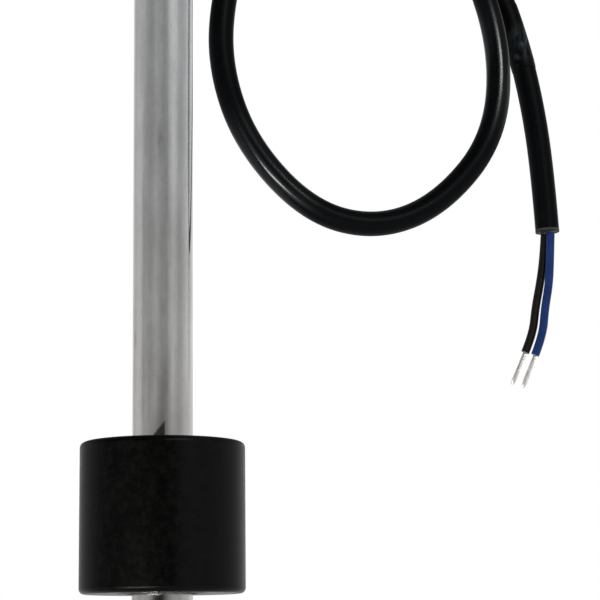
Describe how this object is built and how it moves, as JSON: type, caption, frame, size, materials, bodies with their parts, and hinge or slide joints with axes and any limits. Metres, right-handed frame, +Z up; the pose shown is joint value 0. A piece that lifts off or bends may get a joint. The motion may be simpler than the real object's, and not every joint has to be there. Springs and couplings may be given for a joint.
{
  "type": "float level switch",
  "caption": "Vertical float level switch: steel stem with a sliding float, round bolt-on flange, sealed head with cable gland, and a looped cable with bare wire ends.",
  "frame": {"origin": "centre of the flange's seat, which is the gasket's underside, on the stem's axis", "axes": "+Z up along the stem's axis, out of the tank and towards the cable gland; +X towards the side on which the cable loop hangs"},
  "size_m": [0.1501, 0.1041, 0.3102],
  "materials": {
    "stem_steel": "satin, drawn and polished along its length",
    "flange_steel": "turned, satin",
    "stop_steel": "pressed, satin",
    "ring_steel": "spring steel, satin",
    "float_rubber": "moulded, satin black",
    "magnet_ferrite": "matt dark grey",
    "board_laminate": "green circuit board",
    "capsule_glass": "clear, greenish",
    "tinned_wire": "tinned copper",
    "resistor_ceramic": "matt black",
    "support_rubber": "soft black",
    "gasket_rubber": "matt black",
    "potting_resin": "cast black resin",
    "gland_nylon": "moulded black",
    "cable_pvc": "smooth black PVC",
    "sleeve_plastic": "shrunk black sleeve, slightly scuffed",
    "tie_nylon": "black nylon",
    "wire_black": "smooth black insulation",
    "wire_blue": "smooth blue insulation"
  },
  "bodies": {
    "stem": {"flange_gasket": "gasket_rubber", "flange": "flange_steel", "stem_tube": "stem_steel", "stem_end_plug": "stem_steel", "lower_stop_washer": "stop_steel", "lower_retaining_ring": "ring_steel", "upper_stop_washer": "stop_steel", "upper_retaining_ring": "ring_steel", "reed_board": "board_laminate", "reed_capsules": "capsule_glass", "reed_leads": "tinned_wire", "step_resistors": "resistor_ceramic", "board_supports": "support_rubber", "inner_lead_black": "wire_black", "inner_lead_blue": "wire_blue", "head_housing": "flange_steel", "potting_compound": "potting_resin", "gland_washer": "gasket_rubber", "gland_body": "gland_nylon", "gland_seal": "support_rubber", "gland_nut": "gland_nylon", "cable_in_gland": "cable_pvc", "cable_jacket": "cable_pvc", "end_sleeve": "sleeve_plastic", "cable_tie": "tie_nylon", "black_wire": "wire_black", "blue_wire": "wire_blue", "black_wire_tip": "tinned_wire", "blue_wire_tip": "tinned_wire"},
    "float": {"float_body": "float_rubber", "float_magnet": "magnet_ferrite"}
  },
  "joints": [
    {"name": "float_slide", "type": "slide", "parent": "stem", "child": "float", "axis": [0, 0, 1], "range_m": [-0.0022, 0.129]}
  ]
}
